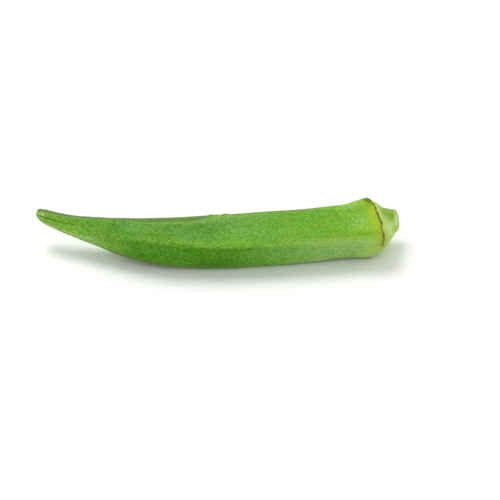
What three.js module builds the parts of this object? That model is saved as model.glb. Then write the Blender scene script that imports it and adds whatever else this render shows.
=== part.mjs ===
// An okra pod as picked, lying on a flat surface: one grown piece, from the blunt point of
// its beak, over the five-ribbed pod and the ring where the flower fell off, to the flared
// cap and the short stem with its slanting cut. Millimetres, +Z up, stem towards +X.
import * as THREE from 'three';

// ---- driving dimensions -------------------------------------------------------------

// The middle line of the pod from its point to the cut. It bends sideways in a shallow
// bow, whose hollow side faces +Y, lifts at the point and turns off a little at the stem.
const MIDDLE_LINE = [
  [-0.1, -2.8, 2.95],
  [12.0, -6.9, 1.0],
  [24.0, -10.0, 0.1],
  [36.0, -12.8, -0.3],
  [48.5, -13.9, -0.4],
  [73.5, -12.1, -0.2],
  [98.0, -9.2, 0.4],
  [109.5, -7.5, 0.8],
  [115.5, -4.9, 0.7],
  [121.15, -2.8, 0.8],
].map((place) => new THREE.Vector3(...place));

// Outline of the pod from the point to the rim of the shoulder, as [distance along the
// middle line, radius over the ribs].
const POD_OUTLINE = [
  [0.0, 0.0],
  [0.2, 1.3],
  [1.2, 2.05],
  [3.6, 2.6],
  [8.0, 3.05],
  [15.5, 3.9],
  [23.0, 5.05],
  [31.0, 6.7],
  [40.5, 8.0],
  [50.5, 8.85],
  [60.5, 9.4],
  [74.0, 9.6],
  [88.0, 9.6],
  [99.0, 9.5],
  [105.0, 9.52],
  [109.0, 10.0],
  [112.0, 10.7],
  [113.2, 10.5],
];

// Outline of the cap and the stem, from the foot of the ring groove to the cut.
const CAP_OUTLINE = [
  [113.6, 9.9],
  [114.1, 9.6],
  [114.7, 9.4],
  [115.5, 8.6],
  [116.7, 7.5],
  [118.2, 6.1],
  [119.6, 5.1],
  [121.3, 4.15],
  [123.1, 3.5],
];
const CUT_PLACE = CAP_OUTLINE[CAP_OUTLINE.length - 1][0];

const RIBS = 5;
// Direction of the rib nearest the -Y side, in degrees above the horizontal, as
// [distance, degrees]. The other ribs follow at equal turns. On the body a face between
// two ribs lies level below, and towards the point all five ribs wind a little.
const RIB_DIRECTION = [
  [0, -6],
  [10, -1],
  [20, 14],
  [32, 23],
  [44, 23],
  [56, 18],
  [124, 18],
];
// How far that one rib wanders upwards from its even place, in degrees.
const RIB_WANDER = [
  [0, 0],
  [20, 0],
  [44, 8],
  [60, 4],
  [80, 1],
  [98, -3],
  [115, -7],
  [124, -9],
];
const WANDER_REACH = THREE.MathUtils.degToRad(50); // how far round the pod it tells
// How angular the section is, from 0 for round to 1 for a flat-sided pentagon. Past 1 its
// sides are a little hollow.
const ANGULARITY = [
  [0, 0.3],
  [6, 0.45],
  [18, 0.5],
  [34, 1.05],
  [50, 1.05],
  [112, 1.05],
  [114.5, 0.6],
  [123, 0.1],
];
const RIB_ROUNDING = THREE.MathUtils.degToRad(7); // half the turn over which a rib rounds
const SEAM_DEPTH = 0.1; // furrow between two ribs at the beak, as a share of the radius
const SEAM_WIDTH = THREE.MathUtils.degToRad(7); // half the turn that this furrow takes
const SEAM_LENGTH = 30; // distance from the point at which it has run out

// Soft swellings and hollows, among them the knuckle where the top rib runs into the
// shoulder and the lopsided cap, as [distance, direction in degrees above the -Y side,
// length, spread in degrees, height].
const SWELLINGS = [
  [20.5, 95, 7.0, 35, 0.42],
  [6.5, 110, 4.5, 40, -0.28],
  [37.0, 95, 5.0, 30, -0.2],
  [75.0, 97, 22.0, 30, -0.18],
  [108.9, 96, 3.2, 15, 0.75],
  [113.0, 84, 1.8, 13, -0.35],
  [114.8, 98, 1.3, 34, -0.15],
  [113.4, 120, 1.6, 26, 0.45],
  [104.8, 18, 4.0, 12, 0.12],
  [49.0, -54, 7.0, 24, -0.28],
  [117.0, 100, 1.9, 50, -0.35],
  [112.9, -50, 2.6, 38, -0.55],
  [119.4, -42, 2.5, 50, 0.75],
  [103.0, -54, 5.0, 30, -0.3],
  [75.0, -54, 5.0, 30, -0.25],
];
// The ring does not lie quite square to the middle line. How far it leans back towards the
// point, as [direction in degrees, spread in degrees, distance].
const RING_LEANS = [
  [130, 35, 1.2],
  [66, 24, 0.05],
  [14, 9, 0.15],
  [-22, 14, -0.55],
];
const RING_PLACE = 113.4;
const RING_LEAN_REACH = 4.5; // how far to either side of the ring the skin leans with it
// The blunt point leans too: its far upper side lies further on than its near lower side.
const TIP_LEAN = 0.38; // in mm per mm off the middle line
const TIP_LEAN_TOWARDS = 125; // degrees above the -Y side
const TIP_LEAN_REACH = [0.5, 4]; // over which distances from the point it fades

// The cut leans back over the last stretch of the stem, in mm per mm of height and per mm
// towards -Y, so that its face looks up and a little to that side.
const CUT_SLOPE_UP = 0.3;
const CUT_SLOPE_SIDE = 0.55;
const CUT_LEAN_LENGTH = 5;

// Turns about X and Y that settle the pod on its underside.
const REST_ROLL = THREE.MathUtils.degToRad(-0.4);
const REST_PITCH = THREE.MathUtils.degToRad(0);

const STEPS_ON_POD = 44;
const STEPS_ON_CAP = 12;
const STEPS_ON_CUT = 2;
const STEPS_AROUND = 50; // a multiple of the number of ribs, so that each has an edge

// ---- shape functions ----------------------------------------------------------------

const { clamp, degToRad, smoothstep } = THREE.MathUtils;

// A smooth curve through stations of [distance, value], as a function of distance. Its
// slope at a station is the mean of the slopes on the two sides.
function through(stations) {
  const last = stations.length - 1;
  const slope = (i) => {
    const [left, right] = [stations[Math.max(i - 1, 0)], stations[Math.min(i + 1, last)]];
    return (right[1] - left[1]) / (right[0] - left[0]);
  };
  return (distance) => {
    const x = clamp(distance, stations[0][0], stations[last][0]);
    const i = Math.max(stations.findIndex(([place]) => place >= x) - 1, 0);
    const [start, low] = stations[i];
    const [end, high] = stations[i + 1];
    const span = end - start;
    const t = (x - start) / span;
    const ease = t * t * (3 - 2 * t);
    const leaving = slope(i) * span * t * (1 - t) * (1 - t);
    const arriving = slope(i + 1) * span * t * t * (1 - t);
    return low + (high - low) * ease + leaving - arriving;
  };
}

// A smooth bump, 1 at its middle.
const bell = (x, middle, width) => Math.exp(-(((x - middle) / width) ** 2));

// A bump round the pod, about a direction in degrees, taken the short way round.
function bellAround(direction, middle, spread) {
  const off = THREE.MathUtils.euclideanModulo(direction - degToRad(middle) + Math.PI, 2 * Math.PI);
  return bell(off - Math.PI, 0, degToRad(spread));
}

function swellingAt(distance, direction) {
  return SWELLINGS.reduce((sum, [place, towards, length, spread, height]) =>
    sum + height * bell(distance, place, length) * bellAround(direction, towards, spread), 0);
}

function leanAt(distance, direction, radius) {
  const near = bell(distance, RING_PLACE, RING_LEAN_REACH);
  const atTip = 1 - smoothstep(distance, ...TIP_LEAN_REACH);
  const tipLean = TIP_LEAN * radius * Math.cos(direction - degToRad(TIP_LEAN_TOWARDS)) * atTip;
  return RING_LEANS.reduce((sum, [towards, spread, back]) =>
    sum + back * near * bellAround(direction, towards, spread), tipLean);
}

const ribDirection = through(RIB_DIRECTION);
const ribWander = through(RIB_WANDER);
const angularity = through(ANGULARITY);

// Share of the full radius at an angle from the nearest rib: a circle blended with a
// regular pentagon whose corners are rounded, less the furrow between ribs at the beak.
function sectionShare(fromRib, distance) {
  const half = Math.PI / RIBS;
  const flatSided = (angle) => Math.cos(half) / Math.cos(half - clamp(angle, 0, half));
  const rounded = Math.hypot(fromRib, RIB_ROUNDING) - RIB_ROUNDING / 2;
  const pentagon = flatSided(rounded) / flatSided(RIB_ROUNDING / 2);
  const seam = bell(Math.abs(fromRib), half, SEAM_WIDTH);
  const seamDepth = SEAM_DEPTH * (1 - smoothstep(distance, 0, SEAM_LENGTH));
  return 1 - angularity(distance) * (1 - pentagon) - seamDepth * seam;
}

// Places a point of the section at a distance along the middle line, where `turn` is its
// angle from the -Y side upwards and `radius` how far it stands off the middle line. Before
// the start and past the end the middle line runs on straight.
function placer(middle, length) {
  const upright = new THREE.Vector3(0, 0, 1);
  return (distance, turn, radius) => {
    const share = clamp(distance / length, 0, 1);
    const along = middle.getTangentAt(share);
    const side = new THREE.Vector3().crossVectors(along, upright).normalize();
    const up = new THREE.Vector3().crossVectors(side, along);
    const across = radius * Math.cos(turn);
    const height = radius * Math.sin(turn);
    const lean = smoothstep(distance, CUT_PLACE - CUT_LEAN_LENGTH, CUT_PLACE);
    const back = lean * (CUT_SLOPE_UP * height + CUT_SLOPE_SIDE * across);
    const beyond = distance - share * length;
    return middle
      .getPointAt(share)
      .addScaledVector(along, beyond - back)
      .addScaledVector(side, across)
      .addScaledVector(up, height);
  };
}

// The whole outline from the point to the middle of the cut, as (distance, radius).
function outline() {
  const smooth = (stations, steps) =>
    new THREE.SplineCurve(stations.map((s) => new THREE.Vector2(...s))).getPoints(steps);
  const pod = smooth(POD_OUTLINE, STEPS_ON_POD);
  const cap = smooth(CAP_OUTLINE, STEPS_ON_CAP);
  const rim = cap[cap.length - 1];
  const cut = Array.from({ length: STEPS_ON_CUT }, (_, i) =>
    new THREE.Vector2(rim.x, rim.y * (1 - (i + 1) / STEPS_ON_CUT)));
  return [...pod, ...cap, ...cut];
}

// ---- the pod ------------------------------------------------------------------------

// Carries the outline round the middle line as one closed surface, with a single vertex
// at the point and another at the middle of the cut.
function podGeometry() {
  const middle = new THREE.CatmullRomCurve3(MIDDLE_LINE, false, 'catmullrom');
  middle.arcLengthDivisions = 1000;
  const place = placer(middle, middle.getLength());
  const rings = outline();
  const tip = rings[0];
  const cutCentre = rings[rings.length - 1];
  const inner = rings.slice(1, -1);

  const vertices = [place(tip.x, 0, 0)];
  for (const { x: distance, y: radius } of inner) {
    for (let j = 0; j < STEPS_AROUND; j += 1) {
      const turn = (j / STEPS_AROUND - 0.5) * 2 * Math.PI;
      const rib = (2 * Math.PI) / RIBS;
      const fromRib = turn - Math.round(turn / rib) * rib;
      const wander = ribWander(distance) * bell(turn, 0, WANDER_REACH);
      const direction = degToRad(ribDirection(distance) + wander) + turn;
      const reach = radius * sectionShare(fromRib, distance) + swellingAt(distance, direction);
      vertices.push(place(distance - leanAt(distance, direction, radius), direction, reach));
    }
  }
  vertices.push(place(cutCentre.x, 0, 0));

  const at = (i, j) => 1 + i * STEPS_AROUND + (j % STEPS_AROUND);
  const end = vertices.length - 1;
  const faces = [];
  for (let j = 0; j < STEPS_AROUND; j += 1) {
    faces.push(0, at(0, j), at(0, j + 1));
    for (let i = 0; i < inner.length - 1; i += 1) {
      faces.push(at(i, j), at(i + 1, j), at(i, j + 1));
      faces.push(at(i, j + 1), at(i + 1, j), at(i + 1, j + 1));
    }
    faces.push(at(inner.length - 1, j + 1), at(inner.length - 1, j), end);
  }
  return new THREE.BufferGeometry().setFromPoints(vertices).setIndex(faces);
}

// Settles the pod on the surface and puts the origin under the middle of its box.
function settled(geometry) {
  geometry.rotateX(REST_ROLL).rotateY(REST_PITCH);
  geometry.computeBoundingBox();
  const { min, max } = geometry.boundingBox;
  geometry.translate(-(min.x + max.x) / 2, -(min.y + max.y) / 2, -min.z);
  geometry.computeVertexNormals();
  return geometry;
}

const skin = new THREE.MeshStandardMaterial({
  color: new THREE.Color('#6ba340'),
  roughness: 0.6,
  metalness: 0,
});

const pod = new THREE.Mesh(settled(podGeometry()), skin);
pod.name = 'okra_pod';

const okra = new THREE.Group();
okra.add(pod);

export default okra;
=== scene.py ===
# %% [markdown]
# # A fresh okra pod: one skin carried along a bent path
#
# An okra pod is a five-ribbed seed pod picked young. It narrows to a long beak at one
# end. At the other it flares into a shoulder, and a thin brown ring marks where the
# flower's parts fell off. Beyond the ring come a pale cap and a short stub of stem.
# It all grew as one piece, so one closed skin holds it, and a second mesh holds the
# fine down on that skin.
#
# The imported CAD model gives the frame: where the pod lies, and the box it must fill.
# This script makes a fine skin that fills the box, the down, the finishes, a pale
# floor, soft light and the camera. Everything is in metres once it reaches Blender,
# and the shape's own sizes are written in millimetres.

import bpy
import numpy as np
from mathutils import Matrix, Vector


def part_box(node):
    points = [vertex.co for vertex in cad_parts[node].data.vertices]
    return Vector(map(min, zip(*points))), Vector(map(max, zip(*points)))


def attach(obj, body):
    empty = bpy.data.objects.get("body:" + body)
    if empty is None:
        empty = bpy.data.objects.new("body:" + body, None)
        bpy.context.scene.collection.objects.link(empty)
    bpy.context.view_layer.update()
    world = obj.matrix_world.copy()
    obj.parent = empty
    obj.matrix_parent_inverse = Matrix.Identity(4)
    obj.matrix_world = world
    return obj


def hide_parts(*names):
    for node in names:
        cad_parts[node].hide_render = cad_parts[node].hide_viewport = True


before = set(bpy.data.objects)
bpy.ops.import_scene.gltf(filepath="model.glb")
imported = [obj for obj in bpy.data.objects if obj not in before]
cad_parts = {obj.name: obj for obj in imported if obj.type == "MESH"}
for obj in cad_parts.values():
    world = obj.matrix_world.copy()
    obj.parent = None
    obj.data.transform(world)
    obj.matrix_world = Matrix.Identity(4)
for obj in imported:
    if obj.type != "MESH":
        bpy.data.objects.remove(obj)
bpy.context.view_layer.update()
MM = 0.001

# %% [markdown]
# ## The camera
#
# The pod is seen from its near side and from about 35 degrees above, with a long lens
# from half a metre, so its far end hardly shrinks. The camera could be aimed by a
# constraint, but a turn about X is all that this view needs, and it leaves nothing
# live in the scene.

# %% Set the camera
VIEW_ELEVATION = np.radians(35.0)
VIEW_DISTANCE = 500 * MM
VIEW_TARGET = np.array([10.55, -0.35, 1.8]) * MM
VIEW_WIDTH = 166.7 * MM  # how wide a strip the frame takes in at the pod
SENSOR_WIDTH = 36.0

towards_camera = np.array([0.0, -np.cos(VIEW_ELEVATION), np.sin(VIEW_ELEVATION)])
lens = bpy.data.cameras.new("view")
lens.sensor_width = SENSOR_WIDTH
lens.lens = SENSOR_WIDTH * VIEW_DISTANCE / VIEW_WIDTH
lens.clip_start = 10 * MM
camera = bpy.data.objects.new("view", lens)
camera.location = VIEW_TARGET + VIEW_DISTANCE * towards_camera
camera.rotation_euler = (np.pi / 2 - VIEW_ELEVATION, 0.0, 0.0)
bpy.context.scene.collection.objects.link(camera)
bpy.context.scene.camera = camera

print("lens, mm:", round(lens.lens, 1))

# %% [markdown]
# ## Two ways to draw a smooth curve
#
# Nearly every size here is a smooth curve through a few stations. Blender's own curves
# could do this too, but a formula gives all its points at once, as numbers. `through`
# reads a value at any distance, as a gardener's measurements along the pod would be
# joined up. `smooth_path` bends a curve through points in the plane or in space.

# %% Curves through stations
def ease(x, low, high):
    """0 below low and 1 above high. Between them, with t the share of the way, it is
    3t² - 2t³."""
    t = np.clip((x - low) / (high - low), 0.0, 1.0)
    return t * t * (3.0 - 2.0 * t)


def bell(x, middle, width):
    """A smooth bump, 1 at the middle: e to the power of minus ((x - middle) / width)²."""
    return np.exp(-(((x - middle) / width) ** 2))


def through(stations, x):
    """The value at x of a smooth curve through (place, value) stations.

    Each span is a cubic that meets its two values with slopes m0 and m1:
    (2t³ - 3t² + 1)v0 + (t³ - 2t² + t)h·m0 + (3t² - 2t³)v1 + (t³ - t²)h·m1, with t the
    share of the span's length h. The slope at a station is that of the line between
    its two neighbours."""
    place, value = np.array(stations, float).T
    slope = np.empty_like(value)
    slope[1:-1] = (value[2:] - value[:-2]) / (place[2:] - place[:-2])
    slope[0] = (value[1] - value[0]) / (place[1] - place[0])
    slope[-1] = (value[-1] - value[-2]) / (place[-1] - place[-2])
    x = np.clip(x, place[0], place[-1])
    i = np.clip(np.searchsorted(place, x, side="right") - 1, 0, len(place) - 2)
    h = place[i + 1] - place[i]
    t = (x - place[i]) / h
    start = (2 * t**3 - 3 * t**2 + 1) * value[i] + (t**3 - 2 * t**2 + t) * h * slope[i]
    end = (3 * t**2 - 2 * t**3) * value[i + 1] + (t**3 - t**2) * h * slope[i + 1]
    return start + end


def smooth_path(points, per_span=200):
    """Points along the Catmull-Rom curve through the given ones.

    Between b and c, with a before and d after, it is half of
    2b + (c - a)t + (2a - 5b + 4c - d)t² + (3b - a - 3c + d)t³. Past each end the last
    step is repeated."""
    p = np.array(points, float)
    p = np.vstack([2 * p[0] - p[1], p, 2 * p[-1] - p[-2]])
    a, b, c, d = (p[k : len(p) - 3 + k, None] for k in range(4))
    t = np.linspace(0.0, 1.0, per_span, endpoint=False)[None, :, None]
    spans = 2 * b + (c - a) * t + (2 * a - 5 * b + 4 * c - d) * t**2
    spans = (spans + (3 * b - a - 3 * c + d) * t**3) / 2
    return np.vstack([spans.reshape(-1, p.shape[1]), p[-2:-1]])


def unit(vectors):
    """Vectors in the same directions, each of length 1."""
    return vectors / np.linalg.norm(vectors, axis=-1, keepdims=True)


def length_along(path):
    """Distance from a path's first point to each of its points."""
    steps = np.linalg.norm(np.diff(path, axis=0), axis=1)
    return np.concatenate([[0.0], np.cumsum(steps)])


# %% [markdown]
# ## The pod's middle line
#
# A pod hangs from its stem and bends as it grows. This one bows sideways, lifts its
# beak off the surface and turns off a little at the stem. A straight pod could be bent
# afterwards by a modifier, but rings placed on a bent line stay square to it. The line
# runs from the point of the beak to the cut, and every other size is measured along it.

# %% Bend the middle line
MIDDLE_LINE = [  # x, y, z in mm
    (-0.1, -2.8, 2.95), (12.0, -6.9, 1.0), (24.0, -10.0, 0.1),
    (36.0, -12.8, -0.3), (48.5, -13.9, -0.4), (73.5, -12.1, -0.2),
    (98.0, -9.2, 0.4), (109.5, -7.5, 0.8), (115.5, -4.9, 0.7),
    (121.15, -2.8, 0.8),
]
middle_line = smooth_path(MIDDLE_LINE)
middle_distance = length_along(middle_line)
POD_LENGTH = middle_distance[-1]


def on_middle_line(distance):
    """The middle line at a distance: its point, its direction, and the two directions
    square to it, one level towards the near side and one upwards.

    The direction is the step between the points just before and just after, the level
    one is direction × (0, 0, 1), and the upward one is level × direction. Past either
    end the line runs on straight."""
    reach = 0.25

    def point(at):
        at = np.clip(at, 0.0, POD_LENGTH)
        return np.stack([np.interp(at, middle_distance, axis) for axis in middle_line.T], -1)

    within = np.clip(distance, 0.0, POD_LENGTH)
    along = unit(point(within + reach) - point(within - reach))
    side = unit(np.cross(along, [0.0, 0.0, 1.0]))
    beyond = (distance - within)[..., None]
    return point(within) + beyond * along, along, side, np.cross(side, along)


print("length along the middle line, mm:", round(POD_LENGTH, 1))

# %% [markdown]
# ## The outline
#
# Cut the pod lengthwise and its edge is the outline: a blunt point, a slow swelling, the
# rim of the shoulder, then the cap, the stem and the cut. Each part is a smooth curve of
# its own, because the rim and the cut are crisp edges. The skin's cross-rings are placed
# along it, crowded where the detail is fine, at the point, the ring and the cut.

# %% Draw the outline
POD_OUTLINE = [  # distance, radius
    (0.0, 0.0), (0.2, 1.3), (1.2, 2.05), (3.6, 2.6), (8.0, 3.05), (15.5, 3.9),
    (23.0, 5.05), (31.0, 6.7), (40.5, 8.0), (50.5, 8.85), (60.5, 9.4),
    (74.0, 9.6), (88.0, 9.6), (99.0, 9.5), (105.0, 9.52), (109.0, 10.0),
    (112.0, 10.7), (113.2, 10.5),
]
CAP_OUTLINE = [
    (113.6, 9.9), (114.1, 9.6), (114.7, 9.4), (115.5, 8.6), (116.7, 7.5),
    (118.2, 6.1), (119.6, 5.1), (121.3, 4.15), (123.1, 3.5),
]
RINGS = 430
CLOSER_RINGS = 3.2  # how much closer the rings lie at the point, the ring and the cut

pod_outline = smooth_path(POD_OUTLINE)
cap_outline = smooth_path(CAP_OUTLINE)
cut_outline = smooth_path([CAP_OUTLINE[-1], (CAP_OUTLINE[-1][0], 0.0)])[1:]
outline = np.vstack([pod_outline, cap_outline, cut_outline])
outline_length = length_along(outline)
RING_AT = (outline_length[len(pod_outline) - 1] + outline_length[len(pod_outline)]) / 2
CUT_AT = outline_length[len(pod_outline) + len(cap_outline) - 1]

crowding = np.where(outline_length > CUT_AT, 2.0, 1.0)
for place, reach in [(0.0, 1.5), (RING_AT + 0.3, 1.4), (CUT_AT, 0.7)]:
    crowding += CLOSER_RINGS * bell(outline_length, place, reach)
rings_so_far = np.cumsum(crowding * np.gradient(outline_length))
even_steps = np.linspace(rings_so_far[0], rings_so_far[-1], RINGS + 2)
ring_length = np.interp(even_steps, rings_so_far, outline_length)
ring_distance, ring_radius = (np.interp(ring_length, outline_length, v) for v in outline.T)

steps = np.diff(ring_length)
print("rings:", RINGS, " steps, mm:", round(steps.min(), 3), "to", round(steps.max(), 3))

# %% [markdown]
# ## The five ribs
#
# Across, the pod is a pentagon with rounded corners and slightly hollow sides. One rib
# looks at us, and the others follow a fifth of a turn apart. They wind a little towards
# the beak. Blending a circle with a pentagon gives the whole section in one formula, so
# that it can pass from nearly round at the stem to sharply ribbed in the body.

# %% Set the section
RIBS = 5
RIB_TURN = 2 * np.pi / RIBS
RIB_DIRECTION = [  # degrees above the level near side
    (0, -6), (10, -1), (20, 14), (32, 23), (44, 23), (56, 18), (124, 18),
]
RIB_WANDER = [  # how far the near rib strays upwards, in degrees
    (0, 0), (20, 0), (44, 8), (60, 4), (80, 1), (98, -3), (115, -7), (124, -9),
]
WANDER_REACH = np.radians(50)
ANGULARITY = [  # 0 is round, 1 a flat-sided pentagon
    (0, 0.3), (6, 0.45), (18, 0.5), (34, 1.05), (50, 1.05), (112, 1.05),
    (114.5, 0.6), (123, 0.1),
]
RIB_ROUNDING = np.radians(7)


def turn_from_rib(turn):
    """The turn from the nearest rib: turn less the nearest whole number of fifths."""
    return turn - np.round(turn / RIB_TURN) * RIB_TURN


def section_share(turn, distance):
    """The share of the full radius that the skin reaches at this turn.

    With a the turn from the nearest rib, half = 36 degrees and w the rounding, the
    corner is rounded by b = √(a² + w²) - w/2. A flat side is
    cos(half) / cos(half - b), scaled to 1 at the rib. The result is
    1 - angularity · (1 - side)."""
    half = RIB_TURN / 2

    def flat_side(a):
        return np.cos(half) / np.cos(half - np.clip(a, 0.0, half))

    rounded = np.hypot(turn_from_rib(turn), RIB_ROUNDING) - RIB_ROUNDING / 2
    side = flat_side(rounded) / flat_side(RIB_ROUNDING / 2)
    return 1.0 - through(ANGULARITY, distance) * (1.0 - side)


def skin_direction(turn, distance):
    """The direction, in radians above the level near side, of each turn from the near
    rib: the rib's own direction, plus its straying, which fades as
    e^-(turn/reach)² round the pod, plus the turn."""
    stray = through(RIB_WANDER, distance) * bell(turn, 0.0, WANDER_REACH)
    return np.radians(through(RIB_DIRECTION, distance) + stray) + turn


middle_share = section_share(np.radians([0.0, 18.0, 36.0]), 70.0)
print("share at the rib, halfway and mid-face:", np.round(middle_share, 3))

# %% [markdown]
# ## The grid of the skin
#
# Every point of the skin has two parameters: which ring it is on, and its turn round
# the pod. The seam of the grid is put underneath, where the pod lies on it.

# %% Lay out the grid
AROUND = 220
SEAM_TURN = np.radians(-108)  # straight down on the body

turn = SEAM_TURN + np.arange(AROUND)[None, :] * 2 * np.pi / AROUND
turn = (turn + np.pi) % (2 * np.pi) - np.pi
distance = ring_distance[1:-1, None]
along_outline = ring_length[1:-1, None]
share = section_share(turn, distance)
direction = skin_direction(turn, distance)

print("skin grid:", share.shape, " quads:", (RINGS - 1) * AROUND)


# %% Unevenness that closes on itself
def ripple(waves, per_mm, around, seed):
    """Smooth unevenness of about 1 either way, over the whole grid.

    It is the sum of cos(2π·f·distance + n·turn + p) over the waves, divided by the
    square root of half their number. f is drawn up to per_mm, n is a whole number
    within around, so that the skin meets itself, and p is any phase."""
    draw = np.random.default_rng(seed)
    f = draw.uniform(-per_mm, per_mm, waves)
    n = draw.integers(around[0], around[1] + 1, waves)
    p = draw.uniform(0.0, 2 * np.pi, waves)
    phase = 2 * np.pi * f * distance[..., None] + n * turn[..., None] + p
    return np.cos(phase).sum(-1) / np.sqrt(waves / 2)


print("ripple goes from", *np.round(np.percentile(ripple(20, 0.1, (1, 3), 1), [1, 99]), 2))

# %% [markdown]
# ## Relief on the body
#
# A pod is never as even as its outline. The seeds lift each face a little, the skin has
# fine lines along it, and between two ribs at the beak runs a furrow where the pod would
# split when ripe. All of this is real height, so that light and outline both show it.

# %% Raise the body's relief
SEED_PITCH = 6.5
SEED_HEIGHT = 0.06
LINE_HEIGHT = 0.011
UNEVENNESS = 0.09
FACE_LINE_HEIGHT = 0.03
FURROW_DEPTH = 0.28
FURROW_WIDTH = np.radians(5)
FURROW_END = 26.0

fold = np.abs(turn_from_rib(turn))  # 0 on a rib, 36 degrees in the middle of a face
mid_face = RIB_TURN / 2
face_number = np.floor(turn / RIB_TURN)
on_body = ease(distance, 6, 26) * (1 - ease(distance, 109, 113))
seeds = np.cos(2 * np.pi * distance / SEED_PITCH + 2.4 * face_number)
relief = SEED_HEIGHT * seeds * bell(fold, mid_face, np.radians(17)) * on_body
relief += FACE_LINE_HEIGHT * bell(fold, np.radians(21), np.radians(5)) * on_body
relief += UNEVENNESS * ripple(26, 0.05, (-3, 3), 11) * on_body
relief += LINE_HEIGHT * ripple(60, 0.04, (18, 52), 12) * ease(distance, 2, 12)
furrow = bell(fold, mid_face, FURROW_WIDTH) * (1 - ease(distance, 10, FURROW_END))
relief -= FURROW_DEPTH * furrow * ease(distance, 0.8, 5.0)

print("relief on the body, mm:", round(relief.min(), 2), "to", round(relief.max(), 2))

# %% [markdown]
# ## Swellings, hollows and old scars
#
# Each one is a soft bump of its own length and spread: the knuckle where the top rib
# runs into the shoulder, a lopsided cap, and small corky scars on the top rib where
# something once rubbed it. A list with one row each is easy to read and to change.

# %% Add the swellings
SWELLINGS = [  # distance, direction in degrees, length, spread in degrees, height
    (20.5, 95, 7.0, 35, 0.42),
    (6.5, 110, 4.5, 40, -0.28),
    (37.0, 95, 5.0, 30, -0.20),
    (75.0, 97, 22.0, 30, -0.18),
    (108.9, 96, 3.2, 15, 0.75),
    (113.0, 84, 1.8, 13, -0.35),
    (114.8, 98, 1.3, 34, -0.15),
    (113.4, 120, 1.6, 26, 0.45),
    (104.8, 18, 4.0, 12, 0.12),
    (49.0, -54, 7.0, 24, -0.28),
    (117.0, 100, 1.9, 50, -0.35),
    (112.9, -50, 2.6, 38, -0.55),
    (119.4, -42, 2.5, 50, 0.75),
    (103.0, -54, 5.0, 30, -0.30),
    (75.0, -54, 5.0, 30, -0.25),
]
SCARS = [  # distance, turn in degrees, length, spread in degrees, height
    (60.2, 75, 1.0, 3.5, 0.40),
    (61.9, 77, 0.6, 3.0, 0.22),
    (64.8, 77, 1.0, 3.5, 0.42),
    (39.5, 72, 0.7, 2.5, 0.20),
    (83.0, 146, 0.9, 3.0, 0.2),
    (30.0, 0, 0.7, 3.0, 0.12),
]


def bell_round(angle, middle, spread):
    """A bell round the pod for an angle in radians. Its middle and its spread are in
    degrees, and it is measured the short way round."""
    off = (angle - np.radians(middle) + np.pi) % (2 * np.pi) - np.pi
    return bell(off, 0.0, np.radians(spread))


for place, towards, length, spread, height in SWELLINGS:
    swelling = bell(distance, place, length) * bell_round(direction, towards, spread)
    relief += height * swelling

scarred = np.zeros_like(relief)
for place, at_turn, length, spread, height in SCARS:
    scar = bell(distance, place, length) * bell_round(turn, at_turn, spread)
    scarred += scar
    relief += height * scar

print("swellings:", len(SWELLINGS), " scars:", len(SCARS))

# %% [markdown]
# ## Weathered edges, and painted shade along the top
#
# Sun and rubbing dry the skin along the top rib and along the beak's lower edge. It turns
# grey and brown there, and loses most of its down. The top mark is also painted shade on
# the strip of far face seen edge on above the top rib, most of all from the middle of the
# pod to the shoulder. Each edge is a list of stations, and its place, spread and strength
# change smoothly from one to the next.

# %% Mark the weathered edges
# the top rib's weathering, and painted shade where the far face is seen edge on along the top
TOP_WEAR_AND_SHADE = [  # distance, turn in degrees, spread in degrees, strength
    (0, 100, 36, 1.1), (3, 104, 34, 1.1), (8, 112, 30, 1.1), (13, 104, 28, 1.1),
    (16.5, 93, 22, 1.0), (22, 80, 15, 1.0), (27, 77, 12, 1.0),
    (34, 72, 9.8, 1.0), (42, 70.5, 10.2, 1.0), (52, 71, 9.5, 1.0),
    (57, 72, 8.5, 1.0), (62, 77, 5, 0.6), (69, 77, 7, 1.0), (82, 77, 6.5, 1.0),
    (92, 77, 7, 1.0), (99, 78, 6, 0.5), (110, 78, 6, 0.4),
]
LOW_EDGE = [  # the same, along the lower edge
    (0, -40, 12, 0.3), (4, -42, 16, 0.5), (9, -46, 16, 0.8), (13, -54, 14, 0.8),
    (16.5, -60, 13, 0.9), (22, -65, 11, 1.0), (27, -68, 8.5, 1.1),
    (34, -70, 8, 1.1), (42, -70, 7, 0.9), (50, -71, 5, 0.0), (110, -71, 5, 0.0),
]


def edge_mark(stations):
    """How strongly an edge is marked, by weathering or by painted shade, at each point of the
    grid: its strength times a bell round the pod, whose middle and spread are read along
    the pod too."""
    place, *columns = np.array(stations, float).T
    middle, spread, strength = (through(np.stack([place, c], -1), distance) for c in columns)
    return strength * bell_round(turn, middle, spread)


top_mark = edge_mark(TOP_WEAR_AND_SHADE) * (1 - ease(distance, 111, 113))
low_mark = edge_mark(LOW_EDGE)

# the share counts the painted shade along the top outline with the weathering
print("weathered share of the skin:", round(float((top_mark + low_mark > 0.5).mean()), 3))

# %% [markdown]
# ## The ring, the cap and the cut
#
# Sepals and petals once stood on the rim, and dropped. They leave a thin groove with a
# ragged papery lip beyond it, and a fainter groove after that. The distance from the
# groove, with its small scallops, is kept for the finish, so colour and shape agree.

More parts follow.
